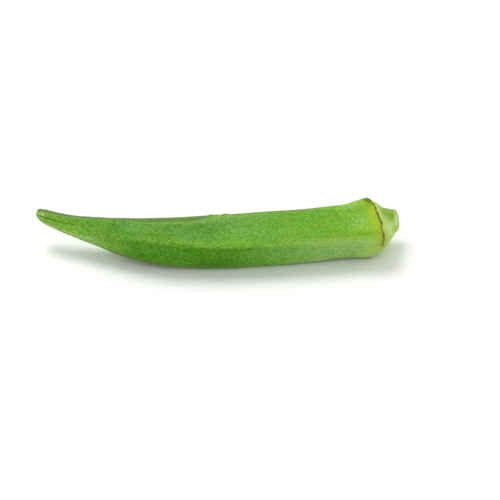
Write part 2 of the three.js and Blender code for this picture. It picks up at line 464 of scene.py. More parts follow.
# %% Shape the ring
RING_PLACE = 113.4
RING_LEAN_LENGTH = 4.5
RING_LEANS = [  # direction in degrees, spread in degrees, how far back towards the beak
    (130, 35, 1.2),
    (66, 24, 0.05),
    (14, 9, 0.15),
    (-22, 14, -0.55),
]
TIP_LEAN = 0.38
TIP_LEAN_TOWARDS = np.radians(125)
SCALLOP = 0.13
RING_PROFILE = [  # distance from the ring, width, height, how ragged
    (-0.9, 0.6, 0.10, 0.0),  # the swollen rim
    (0.0, 0.15, -0.34, -0.5),  # the groove
    (0.36, 0.14, 0.24, 1.0),  # the papery lip
    (0.95, 0.24, -0.12, 0.0),  # the fainter groove
    (1.5, 0.3, 0.05, 0.0),
]
CAP_UNEVENNESS = 0.045

leaning = np.zeros_like(relief)
for towards, spread, back in RING_LEANS:
    near_ring = bell(distance, RING_PLACE, RING_LEAN_LENGTH)
    leaning += back * near_ring * bell_round(direction, towards, spread)

tip_lean = TIP_LEAN * ring_radius[1:-1, None] * np.cos(direction - TIP_LEAN_TOWARDS)
leaning += tip_lean * (1 - ease(distance, 0.5, 4.0))

from_ring = along_outline - RING_AT
from_ring = from_ring - SCALLOP * np.cos(11 * turn + 0.7) - SCALLOP * 0.7 * np.cos(5 * turn)
from_ring = from_ring - 0.09 * ripple(14, 0.0, (12, 40), 21)
ragged = np.clip(0.75 + 0.35 * ripple(24, 0.0, (3, 45), 22), 0.15, 1.4)

for place, width, height, raggedness in RING_PROFILE:
    relief += height * bell(from_ring, place, width) * (1 + raggedness * (ragged - 1))
on_cap = ease(from_ring, 0.9, 2.2) * (1 - ease(along_outline, CUT_AT - 0.8, CUT_AT))
relief += CAP_UNEVENNESS * ripple(50, 0.02, (8, 40), 23) * on_cap

print("groove and lip, mm:", round(relief.min(), 2), "to", round(relief.max(), 2))

# %% Shape the cut and the point
CUT_RADIUS = CAP_OUTLINE[-1][1]
CUT_DISH = 0.22
CUT_PROFILE = [  # share of the cut's radius, width, height
    (0.72, 0.10, 0.14),  # the ring of wood
    (0.45, 0.12, -0.10),  # the sunken pith's edge
]
KNIFE_MARKS = 0.03
POINT_UNEVENNESS = 0.10

cut_share = np.clip((outline_length[-1] - along_outline) / CUT_RADIUS, 0.0, None)
cut_face = -CUT_DISH * (1 - cut_share**2)
for place, width, height in CUT_PROFILE:
    cut_face = cut_face + height * bell(cut_share, place, width)
cut_face = cut_face + KNIFE_MARKS * ripple(40, 0.0, (4, 30), 24) * ease(cut_share, 0.15, 0.5)
cut_face = cut_face * ease(1 - cut_share, 0.0, 0.08)
relief = np.where(along_outline > CUT_AT, cut_face, relief)
at_point = ease(along_outline, 0.0, 0.5) * (1 - ease(along_outline, 0.9, 2.0))
relief += POINT_UNEVENNESS * ripple(30, 0.3, (-9, 9), 25) * at_point

print("dish and knife marks, mm:", round(cut_face.min(), 2), "to", round(cut_face.max(), 2))

# %% [markdown]
# ## Carrying the section along the middle line
#
# The relief stands square to the outline, so on the body it moves the skin outwards and
# on the cap's steep rim mostly lengthwise. The outline's direction is averaged over half
# a millimetre either way, so that the groove's two walls never cross at a crisp edge.
# Then each point goes to its place beside the bent middle line. Towards the end of the
# stem the rings lean, because the knife went through at a slant.

# %% Place the skin
CUT_PLACE = CAP_OUTLINE[-1][0]
CUT_SLOPE_UP = 0.30
CUT_SLOPE_SIDE = 0.55
CUT_LEAN_LENGTH = 5.0
SQUARE_REACH = 0.5  # how far along the outline its direction is averaged
REST_ROLL = np.radians(-0.4)


def place_beside_middle(distance, direction, radius):
    """The point at a distance along the middle line, a direction round it and a radius
    from it: P + across·side + height·up - back·along, with across = radius·cos and
    height = radius·sin of the direction. Near the cut, back leans the ring:
    ease · (0.30·height + 0.55·across)."""
    point, along, side, up = on_middle_line(distance)
    across = radius * np.cos(direction)
    height = radius * np.sin(direction)
    lean = ease(distance, CUT_PLACE - CUT_LEAN_LENGTH, CUT_PLACE)
    back = lean * (CUT_SLOPE_UP * height + CUT_SLOPE_SIDE * across)
    placed = point + across[..., None] * side + height[..., None] * up
    return placed - back[..., None] * along


def settle(points):
    """Turns points by the resting roll about X: with c and s its cosine and sine, y and
    z become c·y - s·z and s·y + c·z."""
    c, s = np.cos(REST_ROLL), np.sin(REST_ROLL)
    x, y, z = np.moveaxis(points, -1, 0)
    return np.stack([x, c * y - s * z, s * y + c * z], -1)


outline_step = np.stack([np.gradient(ring_distance), np.gradient(ring_radius)])
outline_step = outline_step / np.hypot(*outline_step)
nearby = bell(ring_length[:, None], ring_length, SQUARE_REACH) * np.gradient(ring_length)
outline_step = outline_step @ nearby.T
outline_step = outline_step / np.hypot(*outline_step)
lengthwise, outwards = -outline_step[1, 1:-1, None], outline_step[0, 1:-1, None]
skin_distance = distance + relief * lengthwise - leaning
skin_radius = np.maximum(ring_radius[1:-1, None] * share + relief * outwards, 0.01)
skin = settle(place_beside_middle(skin_distance, direction, skin_radius))
ends = np.array([0.0, CUT_PLACE + relief[-1].mean()])
poles = settle(place_beside_middle(ends, np.zeros(2), np.zeros(2)))

low, high = (np.array(corner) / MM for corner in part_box("okra_pod"))
shift = (low + high) / 2 - (skin.min((0, 1)) + skin.max((0, 1))) / 2
shift[2] = -skin[..., 2].min()
skin = (skin + shift) * MM
poles = (poles + shift) * MM

print("skin box, mm:", np.round(skin.min((0, 1)) / MM, 2), np.round(skin.max((0, 1)) / MM, 2))

# %% [markdown]
# ## From points to a mesh
#
# Four neighbours in the grid make one face, the last column joins the first, and a fan
# of triangles closes each end, so the skin is watertight. Each vertex also keeps what
# the finish must know: where it is on the straightened pod, how far it is from the ring
# and from the cut, how scarred or weathered it is, and where painted shade lies along the
# top.


# %% Helpers that make meshes
def tube_faces(rings, around):
    """Faces of a closed grid: quads (i, j), (i+1, j), (i+1, j+1), (i, j+1), then the
    two fans. The poles are the last two vertices. Returns the faces and, for each
    corner, its vertex and its column, the column running on past the seam."""
    i, j = np.meshgrid(np.arange(rings - 1), np.arange(around), indexing="ij")
    quad_ring = np.stack([i, i + 1, i + 1, i], -1).reshape(-1, 4)
    quad_column = np.stack([j, j, j + 1, j + 1], -1).reshape(-1, 4)
    quads = quad_ring * around + quad_column % around
    column = np.arange(around)
    first, last = rings * around, rings * around + 1
    near = np.stack([np.full(around, first), column, (column + 1) % around], -1)
    base = (rings - 1) * around
    far = np.stack([np.full(around, last), base + (column + 1) % around, base + column], -1)
    fan_column = np.stack([column + 0.5, column, column + 1], -1)
    far_column = np.stack([column + 0.5, column + 1, column], -1)
    faces = quads.tolist() + near.tolist() + far.tolist()
    corner_vertex = np.concatenate([quads.ravel(), near.ravel(), far.ravel()])
    corner_column = [quad_column.ravel(), fan_column.ravel(), far_column.ravel()]
    return faces, corner_vertex, np.concatenate(corner_column)


def new_piece(name, points, faces):
    """A smooth-shaded mesh object at the origin."""
    mesh = bpy.data.meshes.new(name)
    mesh.from_pydata(points.tolist(), [], faces)
    mesh.shade_smooth()
    piece = bpy.data.objects.new(name, mesh)
    bpy.context.scene.collection.objects.link(piece)
    return piece


def keep(piece, name, values):
    """Stores one number, or one vector of three, with each vertex."""
    values = np.asarray(values, np.float32)
    kind, field = ("FLOAT_VECTOR", "vector") if values.ndim == 2 else ("FLOAT", "value")
    layer = piece.data.attributes.new(name, kind, "POINT")
    layer.data.foreach_set(field, values.ravel())


def lay_flat(piece, u, v):
    """A map on which an export may draw the finish, from u and v at each corner."""
    layer = piece.data.uv_layers.new(name="OFBake")
    layer.uv.foreach_set("vector", np.stack([u, v], -1).astype(np.float32).ravel())


# %% Make the skin
def with_poles(grid, tip, cut):
    """The grid's values in order, then the two poles'."""
    grid = np.broadcast_to(grid, (RINGS, AROUND, *grid.shape[2:]))
    return np.concatenate([grid.reshape(RINGS * AROUND, *grid.shape[2:]), [tip], [cut]])


faces, corner_vertex, corner_column = tube_faces(RINGS, AROUND)
skin_points = with_poles(skin, poles[0], poles[1])
pod = new_piece("okra_skin", skin_points, faces)

across_rib = ring_radius[1:-1, None] * share * np.cos(turn)
above_rib = ring_radius[1:-1, None] * share * np.sin(turn)
unbent = np.stack(np.broadcast_arrays(distance, across_rib, above_rib), -1)
for name, grid, tip, cut in [
    ("unbent", unbent, [0, 0, 0], [CUT_PLACE, 0, 0]),
    ("from_ring", from_ring, -RING_AT, ring_length[-1] - RING_AT),
    ("from_cut", along_outline - CUT_AT, -CUT_AT, CUT_RADIUS),
    ("scarred", scarred, 0.0, 0.0),
    ("top_mark", top_mark, 0.3, 0.0),
    ("low_mark", low_mark, 0.3, 0.0),
]:
    keep(pod, name, with_poles(grid, tip, cut))

corner_length = with_poles(along_outline, 0.0, ring_length[-1])
lay_flat(pod, corner_column / AROUND, corner_length[corner_vertex] / ring_length[-1])
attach(pod, "root")
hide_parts("okra_pod")

triangles = sum(len(f) - 2 for f in faces)
print("skin:", len(skin_points), "vertices,", triangles, "triangles")

# %% [markdown]
# ## The down
#
# Young okra feels like felt, because short stiff hairs stand all over it and lean
# towards the beak. Blender could grow them as hair particles, but those vanish when the
# model is exported. Each hair here is a closed spike of four triangles, rooted in the
# skin, and all of them together are one mesh.

# %% Choose where hairs grow
HAIRS = 46000
HAIR_LENGTH = (0.16, 0.40)
HAIR_THICKNESS = 0.032
HAIR_SUNK = 0.05
HAIR_CLEARANCE = 0.45  # no hair is rooted lower than this above the surface

draw = np.random.default_rng(7)
corner = skin[:-1] / MM
next_ring = skin[1:] / MM
next_column = np.roll(corner, -1, axis=1)
opposite = np.roll(next_ring, -1, axis=1)
patch = np.cross(opposite - corner, next_column - next_ring)
patch_area = np.linalg.norm(patch, axis=-1) / 2
outward = patch / (2 * patch_area[..., None])

thick_on_ribs = 0.7 + 0.6 * bell(fold, 0.0, np.radians(10))
grows = thick_on_ribs * ease(along_outline, 0.6, 3.0)
grows = grows * (1 - 0.85 * np.clip(top_mark + low_mark, 0, 1))
grows = grows * (1 - 0.93 * ease(from_ring, -1.3, -0.3)) * (1 - ease(from_ring, 1.0, 1.5))
grows = grows[:-1] * (corner[..., 2] > HAIR_CLEARANCE) * patch_area
chance = (grows / grows.sum()).ravel()
chosen = draw.choice(chance.size, HAIRS, p=chance)

print("hairs per mm²:", round(HAIRS / patch_area[grows > 0].sum(), 2))


# %% Grow the hairs
def at_patch(grid):
    """The grid's rows for the chosen patches."""
    return grid.reshape(-1, grid.shape[-1])[chosen]


u, v = draw.uniform(0, 1, (2, HAIRS, 1))
root = (at_patch(corner) * (1 - u) + at_patch(next_ring) * u) * (1 - v)
root += (at_patch(next_column) * (1 - u) + at_patch(opposite) * u) * v
standing = at_patch(outward)
to_beak = unit(at_patch(corner - next_ring))
pointing = standing + draw.uniform(0.3, 1.3, (HAIRS, 1)) * to_beak
pointing = unit(pointing + draw.normal(0, 0.28, (HAIRS, 3)))
aside = unit(np.cross(pointing, standing + [0.0, 0.0, 1e-3]))
third = np.cross(pointing, aside)

length = draw.uniform(*HAIR_LENGTH, (HAIRS, 1))
foot_turn = np.arange(3) * 2 * np.pi / 3
foot = aside[:, None] * np.cos(foot_turn)[:, None] + third[:, None] * np.sin(foot_turn)[:, None]
feet = (root - HAIR_SUNK * standing)[:, None] + HAIR_THICKNESS / 2 * foot
tips = (root + length * pointing)[:, None]
hair_points = np.concatenate([feet, tips], 1).reshape(-1, 3) * MM
hair_faces = np.array([[0, 2, 1], [0, 1, 3], [1, 2, 3], [2, 0, 3]])
hair_faces = (np.arange(HAIRS)[:, None, None] * 4 + hair_faces).reshape(-1, 3)

down = new_piece("okra_down", hair_points, hair_faces.tolist())
from_root = np.tile([0.0, 0.0, 0.0, 1.0], HAIRS)
paleness = np.repeat(draw.uniform(0, 1, HAIRS), 4)
keep(down, "from_root", from_root)
keep(down, "paleness", paleness)
hair_corner = hair_faces.ravel()
lay_flat(down, 0.05 + 0.9 * from_root[hair_corner], 0.05 + 0.9 * paleness[hair_corner])
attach(down, "root")

print("down:", HAIRS, "hairs,", len(hair_faces), "triangles")

# %% [markdown]
# ## Writing a finish as a sum
#
# A finish is a net of shader nodes. Wired by hand it soon gets hard to read, so one
# class stands for the output of a node and knows how to add, subtract, multiply and
# divide. A line such as `0.5 + 0.1 * grain` then adds its own nodes.


# %% Nodes as Python expressions
class Wire:
    """One number that a node gives out at each point of a surface."""

    def __init__(self, finish, socket):
        self.finish = finish
        self.socket = socket

    def __add__(self, other):
        return self.finish.math("ADD", self, other)

    def __sub__(self, other):
        return self.finish.math("SUBTRACT", self, other)

    def __rsub__(self, other):
        return self.finish.math("SUBTRACT", other, self)

    def __mul__(self, other):
        return self.finish.math("MULTIPLY", self, other)

    def __truediv__(self, other):
        return self.finish.math("DIVIDE", self, other)

    __radd__ = __add__
    __rmul__ = __mul__


class Finish:
    """A material, built one node at a time."""

    def __init__(self, name):
        self.material = bpy.data.materials.new(name)
        self.material.use_nodes = True
        self.tree = self.material.node_tree
        self.tree.nodes.clear()

    def node(self, kind, settings, inputs, output=0):
        """Adds a node: its type, its settings, then its sockets' values or wires."""
        added = self.tree.nodes.new(kind)
        for name, value in settings.items():
            if name == "stops":
                self.set_stops(added.color_ramp, value)
            else:
                setattr(added, name, value)
        for name, value in inputs.items():
            if isinstance(value, Wire):
                self.tree.links.new(value.socket, added.inputs[name])
            else:
                added.inputs[name].default_value = value
        return Wire(self, added.outputs[output]) if added.outputs else None

    def set_stops(self, ramp, stops):
        """Gives a colour ramp its (place, colour) stops."""
        while len(ramp.elements) < len(stops):
            ramp.elements.new(1.0)
        for element, (place, colour) in zip(ramp.elements, stops):
            element.position = place
            element.color = colour

    def kept(self, name, output="Fac"):
        """A number or a vector stored with the mesh."""
        return self.node("ShaderNodeAttribute", {"attribute_name": name}, {}, output)

    def math(self, operation, *values):
        """One sum on one, two or three numbers."""
        return self.node("ShaderNodeMath", {"operation": operation}, dict(enumerate(values)))

    def ease(self, x, low, high):
        """0 below low, 1 above high, and 3t² - 2t³ of the way between. With low above
        high it falls instead of rising."""
        ends = {"Value": x, "From Min": low, "From Max": high}
        return self.node("ShaderNodeMapRange", {"interpolation_type": "SMOOTHSTEP"}, ends)

    def bell(self, x, middle, width):
        """e to the power of minus ((x - middle) / width)²."""
        off = (x - middle) / width
        return self.math("EXPONENT", off * off * -1.0)

    def stretched(self, vector, sizes):
        """A vector measured in steps of these sizes along its three axes."""
        by = {0: vector, 1: tuple(1 / size for size in sizes)}
        return self.node("ShaderNodeVectorMath", {"operation": "MULTIPLY"}, by)

    def cloud(self, vector, sizes, detail=3.0, roughness=0.55):
        """Smooth noise about 0.5, whose lumps have these sizes."""
        inputs = {"Vector": self.stretched(vector, sizes), "Scale": 1.0}
        inputs |= {"Detail": detail, "Roughness": roughness}
        return self.node("ShaderNodeTexNoise", {}, inputs, "Fac")

    def cells(self, vector, sizes):
        """Cells of about these sizes, as the distance from each one's middle."""
        inputs = {"Vector": self.stretched(vector, sizes), "Scale": 1.0}
        return self.node("ShaderNodeTexVoronoi", {}, inputs, "Distance")

    def cover(self, below, above, share, blend="MIX"):
        """One colour over another, by a share from 0 to 1."""
        settings = {"data_type": "RGBA", "clamp_factor": True, "blend_type": blend}
        return self.node("ShaderNodeMix", settings, {0: share, 6: below, 7: above}, 2)

    def covers(self, below, layers):
        """Several (colour, share) layers over one colour, the last one on top."""
        for above, share in layers:
            below = self.cover(below, above, share)
        return below

    def wear(self, piece, shader, inputs):
        """Ends the net in a shader and puts the material on a piece."""
        surface = self.node(shader, {}, inputs)
        self.node("ShaderNodeOutputMaterial", {}, {"Surface": surface})
        piece.data.materials.append(self.material)

    def report(self):
        """Prints how many nodes the net has so far."""
        print(self.material.name, "has", len(self.tree.nodes), "nodes")


def paint(red, green, blue):
    """A colour from three screen values of 0 to 255, each made linear:
    ((c/255 + 0.055) / 1.055) to the power of 2.4."""
    screen = (np.array([red, green, blue]) / 255 + 0.055) / 1.055
    return (*(float(c) for c in screen**2.4), 1.0)


print("one mid green, linear:", np.round(paint(107, 160, 67), 3))

# %% [markdown]
# ## The skin's own coordinates
#
# The pod is bent, so a pattern in plain space would slide across its ribs. The mesh
# keeps where each point was on the straightened pod. From that come the distance from
# the beak, the turn from the near rib and the turn from the nearest one.

# %% Read the skin's coordinates
net = Finish("okra_skin")
unbent_at = net.kept("unbent", "Vector")
beak_distance, across_at, above_at = (
    net.node("ShaderNodeSeparateXYZ", {}, {0: unbent_at}, axis) for axis in "XYZ"
)
turn_at = net.math("ARCTAN2", above_at, across_at) * (180 / np.pi)
fifth = 360 / RIBS
nearest_rib = net.math("ROUND", turn_at / fifth) * fifth
fold_at = net.math("ABSOLUTE", turn_at - nearest_rib)
ring_at = net.kept("from_ring")
cut_at = net.kept("from_cut")

big_cloud = net.cloud(unbent_at, (9, 4, 4), 2.0)
blotches = net.cloud(unbent_at, (2.6, 1.6, 1.6), 3.0)
fine_cloud = net.cloud(unbent_at, (0.55, 0.4, 0.4), 3.0, 0.65)
grit = net.cloud(unbent_at, (0.80, 0.62, 0.62), 2.0, 0.6)
streaks = net.cloud(unbent_at, (9, 0.55, 0.55), 2.0)

net.report()

# %% [markdown]
# ## The greens
#
# The face that looked up at the light is a soft green, and the one below the near rib
# a deeper and warmer one. That lower green is darkened further by painted shade along the
# middle of the pod, and made paler by painted reflected light towards the shoulder. Both
# turn yellower towards the shoulder. Two colour ramps run along the pod, and the turn
# chooses between them.

# %% Mix the greens
UPPER_GREENS = [  # distance in mm, screen colour
    (0, (132, 168, 84)), (4, (124, 168, 70)), (16, (112, 166, 54)),
    (30, (97, 151, 52)), (50, (99, 156, 58)), (66, (103, 163, 60)),
    (80, (111, 171, 60)), (100, (119, 178, 54)), (111, (142, 197, 62)),
]
# the lower face: its own deeper green, with painted shade from about 30 to 70 mm and painted
# reflected light from about 80 mm on
LOWER_GREENS_AND_PAINTED_LIGHT = [
    (0, (150, 186, 98)), (10, (150, 194, 92)), (24, (116, 173, 54)),
    (36, (77, 143, 15)), (62, (76, 142, 13)), (80, (109, 171, 60)),
    (98, (138, 192, 94)), (111, (156, 202, 106)),
]


def along_pod(greens):
    """A colour that changes with the distance from the beak."""
    stops = [(place / POD_LENGTH, paint(*colour)) for place, colour in greens]
    return net.node("ShaderNodeValToRGB", {"stops": stops}, {0: beak_distance / POD_LENGTH})


upper = along_pod(UPPER_GREENS)
lower = along_pod(LOWER_GREENS_AND_PAINTED_LIGHT)
wavering = turn_at + (big_cloud - 0.5) * 16 + (grit - 0.5) * 16
below_rib = (1 - net.ease(wavering, -9, 3)) * net.ease(wavering, -165, -120)
# the lower ramp, painted shade and reflected light included, covers the face below the near rib
colour = net.cover(upper, lower, below_rib)

print("ramps:", len(UPPER_GREENS), "and", len(LOWER_GREENS_AND_PAINTED_LIGHT), "stops")

# %% [markdown]
# ## Washes of colour
#
# No pod is one green. A soft wash lies here and there, of a bluer bloom, of a deeper or a
# fresher green, or of a paler grey where the down is thick. Some are painted light: dark
# bands just under the near rib and along the lower edge are painted shade, paler washes
# low down near the shoulder are painted reflected light, and pale spots by the point and
# on the knuckle are painted highlights. They could be painted on an image, but an oval
# given by a few numbers stays clean at any size and is easy to move.
# Each lies on the straightened pod and is broken up by the blotches. Two slow drifts of
# hue go over them all.

# %% Lay the washes
BLUE_BLOOM = paint(96, 152, 76)
PALE_BLOOM = paint(128, 182, 86)
DEEP = paint(84, 146, 38)
SHADE = paint(60, 116, 8)
STRIPE = paint(138, 182, 84)
FRESH = paint(126, 186, 50)
FRESH_DEEP = paint(112, 168, 22)
OLIVE = paint(76, 140, 8)
GREY = paint(142, 178, 108)
PALE = paint(168, 202, 112)
BLUER = (0.95, 1.0, 1.16, 1.0)
YELLOWER = (1.05, 0.98, 0.84, 1.0)
WASHES = [  # distance, length, turn in degrees, spread in degrees, colour, share
    (32.5, 3, 40, 26, BLUE_BLOOM, 0.55),
    (28.5, 3, 32, 20, DEEP, 0.8),
    (35.5, 3, 46, 16, PALE_BLOOM, 0.4),
    (42, 3, 18, 14, DEEP, 0.7),
    (79, 14, 68, 8, DEEP, 0.6),
    (67, 3, -2, 6, FRESH, 0.35),
    (42, 5, -20, 16, OLIVE, 0.35),
    (45, 6, -28, 10, BLUE_BLOOM, 0.25),
    # painted shade along the lower edge
    (61, 6, -58, 16, OLIVE, 1.2),
    (48, 4, -52, 16, OLIVE, 0.6),
    (71, 9, 64, 8, GREY, 0.35),
    (25.5, 2.5, -42, 16, DEEP, 0.3),
    (33, 3, 0, 7, FRESH, 0.4),
    (85, 4, -4, 6, DEEP, 0.25),
    (33, 5, 4, 10, DEEP, 0.5),
    (59, 5, 38, 16, DEEP, 0.55),
    # painted shade along the lower edge
    (56, 12, -64, 12, DEEP, 0.6),
    (55, 9, 36, 22, BLUE_BLOOM, 0.3),
    (69, 8, 36, 24, PALE_BLOOM, 0.4),
    # painted shade: a dark band just under the near rib
    (53, 22, -10, 7, OLIVE, 1.3),
    (30, 6, -6, 12, OLIVE, 0.3),
    (16, 5, 66, 18, DEEP, 0.4),
    (6, 8, 68, 18, DEEP, 0.4),
    (20, 3, 8, 16, DEEP, 0.35),
    (13, 5, 10, 16, FRESH, 0.8),
    (66, 13, 6, 7, FRESH, 0.5),
    (49, 6, 5, 7, FRESH, 0.45),
    (9, 6, 34, 22, FRESH, 0.4),
    # painted highlight along the top rib where it runs into the knuckle
    (107.5, 5, 66, 4, PALE, 0.6),
    (25, 4, 24, 18, DEEP, 0.35),
    (36, 8, 36, 26, BLUE_BLOOM, 0.25),
    (96, 14, 6, 9, FRESH, 0.4),
    (51, 11, 59, 4, STRIPE, 0.7),
    (60, 5, 64, 6, STRIPE, 0.7),
    (110.5, 3, 58, 16, FRESH_DEEP, 0.6),
    (104, 12, 9, 3, FRESH_DEEP, 0.4),
    # partly the bottom rib's paler crest, partly painted reflected light from below
    (100, 15, -69, 12, PALE, 0.8),
    (12, 10, -20, 34, PALE, 0.25),
    (92, 12, 36, 12, FRESH, 0.3),
    # painted reflected light: the lower face paler and greyer near the shoulder
    (98, 14, -34, 20, GREY, 0.45),
    (19, 8, -38, 22, PALE, 0.4),
    (3, 6, -44, 40, PALE, 0.8),
    (109, 3, 34, 15, PALE, 0.4),
    (43, 4, 10, 70, OLIVE, 0.16),
    (58.5, 5, 10, 70, OLIVE, 0.18),
    (30, 4, -30, 18, FRESH, 0.3),
    (74, 20, 170, 40, FRESH, 0.35),
    (40, 18, 130, 30, BLUE_BLOOM, 0.4),
    (32.7, 2.6, 22, 14, DEEP, 1.0),
    (45.6, 3, 8, 15, DEEP, 0.9),
    # painted shade along the lower edge
    (61, 5, -58, 16, SHADE, 0.55),
    (110.5, 3, 84, 8, DEEP, 0.5),
    # painted highlight on the upper side just behind the point
    (2.2, 1.3, 48, 22, PALE, 1.3),
    (3, 1.6, 26, 18, FRESH_DEEP, 0.6),
]


def turned_to(middle, spread):
    """A bell round the pod, as wide as spread, about a turn in degrees."""
    short_way = net.math("WRAP", turn_at - middle, 180.0, -180.0)
    return net.bell(short_way, 0.0, spread)


def wash(below, place, length, at_turn, spread, above, share):
    """One oval wash over the colours below: a bell along the pod, times a bell round it,
    times (blotches + 0.5), times the share."""
    oval = net.bell(beak_distance, place, length) * turned_to(at_turn, spread)
    return net.cover(below, above, oval * (blotches + 0.5) * share)


for row in WASHES:
    colour = wash(colour, *row)
colour = net.cover(colour, BLUER, net.ease(big_cloud, 0.50, 0.68), "MULTIPLY")
colour = net.cover(colour, YELLOWER, 1 - net.ease(big_cloud, 0.32, 0.50), "MULTIPLY")

print("washes:", len(WASHES))

# %% [markdown]
# ## Ribs, furrows, mottling and specks
#
# The ribs are rubbed paler and the furrows of the beak stay dark. The skin between is
# mottled and finely speckled, each speck the pale foot of a hair. Multiplying keeps
# the hue of what lies below, as thicker or thinner green does in a real skin.

# %% Add the marks of the body
RIB_PALE = paint(146, 197, 76)
RIB_WIDTH = 6.0  # in degrees
RIB_SHARE = 0.85
FURROW_DARK = paint(64, 114, 6)
FURROW_LINE = 5.0  # in degrees
FURROW_SHARE = 0.95
THICKER = (0.50, 0.68, 0.36, 1.0)
THINNER = (1.60, 1.34, 1.90, 1.0)
SPECK_PALE = paint(180, 212, 116)
SPECK_SPACING = (0.85, 0.7, 0.7)
SPECK_SHARE = 0.40

body_part = net.ease(beak_distance, 16, 66)
off_cap = 1 - net.ease(ring_at, -0.2, 0.2)
on_rib = net.bell(fold_at + (streaks - 0.5) * 8 + (grit - 0.5) * 12, 0.0, RIB_WIDTH)
rib_share = on_rib * (0.20 + 0.55 * body_part) * (0.35 + blotches) * off_cap
rib_share = rib_share * (0.55 + 0.7 * net.ease(grit, 0.40, 0.60))
colour = net.cover(colour, RIB_PALE, rib_share * RIB_SHARE)

beak_part = 1 - net.ease(beak_distance, 5, 18)
in_furrow = net.bell(fold_at, fifth / 2, FURROW_LINE) * beak_part
colour = net.cover(colour, FURROW_DARK, in_furrow * FURROW_SHARE)

smooth_part = below_rib * net.ease(beak_distance, 74, 92)
mottled = 1.25 - 0.35 * net.ease(beak_distance, 30, 80)
mottled = mottled * (1 + 0.60 * below_rib) * (1 - 0.25 * smooth_part) * off_cap
thick = (1 - net.ease(grit, 0.38, 0.52)) * 0.56 + net.ease(fine_cloud, 0.48, 0.64) * 0.40
colour = net.cover(colour, THICKER, thick * mottled, "MULTIPLY")
thin = net.ease(grit, 0.50, 0.64) * 0.38 + net.ease(streaks, 0.48, 0.70) * 0.26
colour = net.cover(colour, THINNER, thin * mottled, "MULTIPLY")

speck_cell = net.cells(unbent_at, SPECK_SPACING)
speck = 1 - net.ease(speck_cell, 0.10, 0.32)
speck = speck * net.ease(grit, 0.36, 0.52) * off_cap
colour = net.cover(colour, SPECK_PALE, speck * SPECK_SHARE)

net.report()

# %% [markdown]
# ## Dry and shaded edges, point and scars
#
# The weathered edges were marked on the mesh, so here they only take their colours. The
# top one is weathering and painted shade together, and the grit frays it. The blotches
# break the lower one into patches. The two ribs on the far side, the beak's very point and
# the scars dry in the same way.

# %% Colour the edges and the scars
EDGE_GREY = paint(98, 116, 64)
EDGE_BROWN = paint(104, 114, 58)
TIP_GREY = paint(172, 182, 124)
SCAR_BROWN = paint(124, 132, 66)
FAR_RIB_WIDTH = 2.5  # in degrees
FAR_RIB_SHARE = 0.6
SCAR_SHARE = 0.75

top_wear_and_shade_share = net.ease(net.kept("top_mark") + (grit - 0.5) * 0.8, 0.18, 0.85)
low_share = 0.30 + 0.80 * net.ease(blotches, 0.36, 0.54)
far_rib = net.bell(fold_at, 0.0, FAR_RIB_WIDTH) * net.ease(turned_to(180, 60), 0.3, 0.6)
far_rib = far_rib * net.ease(blotches, 0.42, 0.60) * off_cap
tip_dry = 1 - net.ease(beak_distance, 0.3, 1.0)
colour = net.covers(colour, [
    # the top edge: grey weathering, with painted shade along the top outline
    (EDGE_GREY, top_wear_and_shade_share * (0.30 + 0.5 * blotches + 0.5 * fine_cloud)),
    (EDGE_BROWN, net.kept("low_mark") * low_share),
    (EDGE_BROWN, far_rib * FAR_RIB_SHARE),
    (TIP_GREY, tip_dry * (0.5 + 0.6 * fine_cloud)),
    (SCAR_BROWN, net.ease(net.kept("scarred"), 0.35, 0.8) * SCAR_SHARE),
])

net.report()

# %% [markdown]
# ## The shoulder, the ring and the cap
#
# Chlorophyll thins out towards the rim, so the last millimetres turn yellow-green. The
# groove of the ring is dry and brown, most of all above, and it fades on the lower side.
# Beyond it the papery lip and the cap are pale, and the stem is green along its top. The
# cut shows pale pith inside a ring of green. Each band is a range of distances from the
# ring, and noise is added to the distance, so no band has a ruled edge.

# %% Colour the ring and the cap
SHOULDER = paint(150, 202, 60)
YELLOW_BAND = paint(172, 200, 48)
RIM_OCHRE = paint(168, 172, 52)
RING_BROWN = paint(90, 98, 0)
RING_OLIVE = paint(124, 140, 4)
RIM_GREEN = paint(92, 120, 0)
# a paler green low on the shoulder, partly painted reflected light
LOW_BAND = paint(172, 200, 112)
LIP = paint(216, 218, 128)
CAP_PALE = paint(200, 230, 138)
CAP_GREEN = paint(168, 208, 92)
CAP_OLIVE = paint(152, 180, 84)
STEM_GREEN = paint(128, 172, 8)

ring_noise = net.cloud(unbent_at, (0.8, 1.3, 1.3), 3.0)
faded = turned_to(-62, 36)
RIM_BANDS = [  # noise, how far the edge strays, start, full, colour, share
    (blotches, 4.0, -6.5, -1.0, SHOULDER, 0.60),
    (ring_noise, 2.4, -3.4, -0.7, YELLOW_BAND, 0.80),
    (ring_noise, 1.6, -1.3, -0.2, RIM_OCHRE, 0.55),
    # the lower side of the shoulder: a paler band, partly painted reflected light
    (ring_noise, 2.0, -6.0, -1.5, LOW_BAND, faded * 0.95),
    (ring_noise, 2.0, -3.4, -1.4, RIM_GREEN, turned_to(77, 13) * 1.2),
]
for noise, stray, start, full, band_colour, band_share in RIM_BANDS:
    band = net.ease(ring_at + (noise - 0.5) * stray, start, full)
    colour = net.cover(colour, band_colour, band * band_share * off_cap)
grey_rib = turned_to(-2, 8) * net.ease(beak_distance, 78, 94)
rib_line = net.bell(ring_at, -4.0, 3.4) * turned_to(10, 4) * (0.3 + ring_noise)

